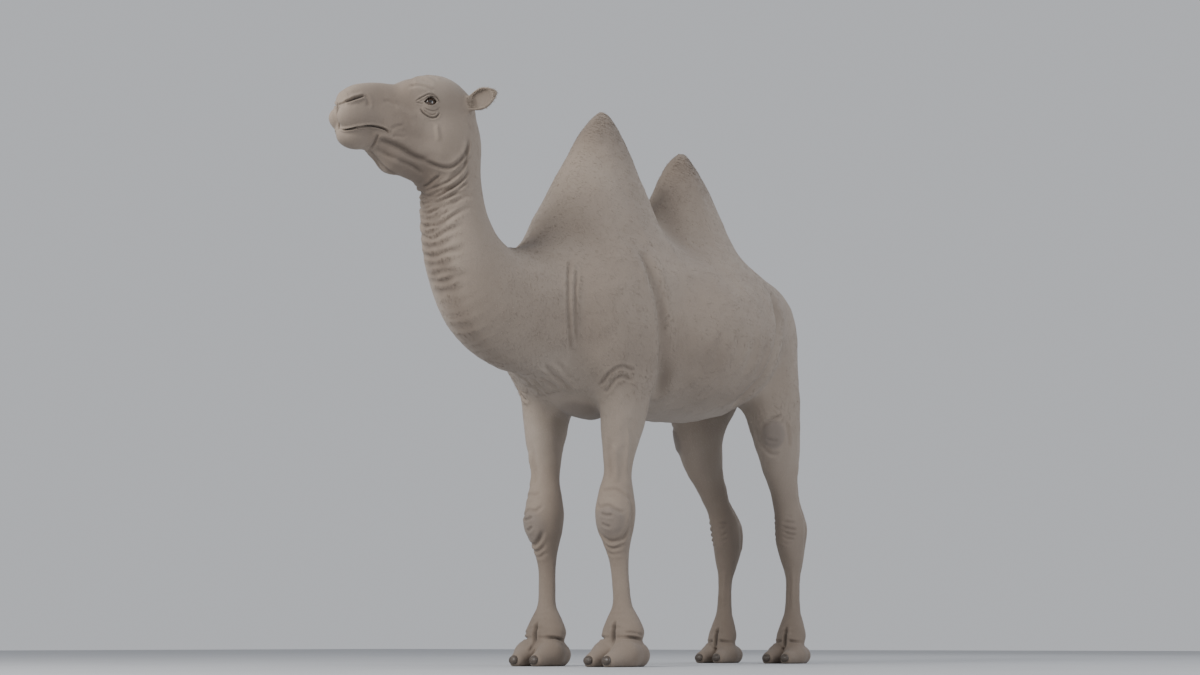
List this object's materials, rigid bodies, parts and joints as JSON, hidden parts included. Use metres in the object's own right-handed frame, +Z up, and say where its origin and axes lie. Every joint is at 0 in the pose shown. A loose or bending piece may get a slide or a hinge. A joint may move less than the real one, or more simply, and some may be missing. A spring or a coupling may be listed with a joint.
{
  "type": "bactrian camel",
  "caption": "Life-size display model of a Bactrian camel in its short summer coat, standing on all its feet with its head raised and turned a little to its right.",
  "frame": {"origin": "on the floor, under the middle of the camel's box", "axes": "+Z up; the camel faces -Y and its left side is +X"},
  "size_m": [0.8306, 2.85, 2.163],
  "materials": {
    "coat": "matt short hair",
    "pale_coat": "matt short hair",
    "dark_coat": "matt hair and foot skin",
    "nail": "dull horn",
    "eye": "wet gloss"
  },
  "bodies": {
    "root": {"trunk": "coat", "hump_front": "coat", "hump_rear": "coat", "neck_lower": "coat", "neck_middle": "coat", "neck_upper": "coat", "head": "coat", "ear_left": "pale_coat", "ear_right": "pale_coat", "eye_left": "eye", "eye_right": "eye", "tail": "coat", "tail_tuft": "dark_coat", "foreleg_left_upper": "coat", "foreleg_left_lower": "coat", "foreleg_left_foot": "dark_coat", "foreleg_left_nail_inner": "nail", "foreleg_left_nail_outer": "nail", "foreleg_right_upper": "coat", "foreleg_right_lower": "coat", "foreleg_right_foot": "dark_coat", "foreleg_right_nail_inner": "nail", "foreleg_right_nail_outer": "nail", "hind_leg_left_upper": "coat", "hind_leg_left_lower": "coat", "hind_leg_left_foot": "dark_coat", "hind_leg_left_nail_inner": "nail", "hind_leg_left_nail_outer": "nail", "hind_leg_right_upper": "coat", "hind_leg_right_lower": "coat", "hind_leg_right_foot": "dark_coat", "hind_leg_right_nail_inner": "nail", "hind_leg_right_nail_outer": "nail"}
  },
  "joints": []
}
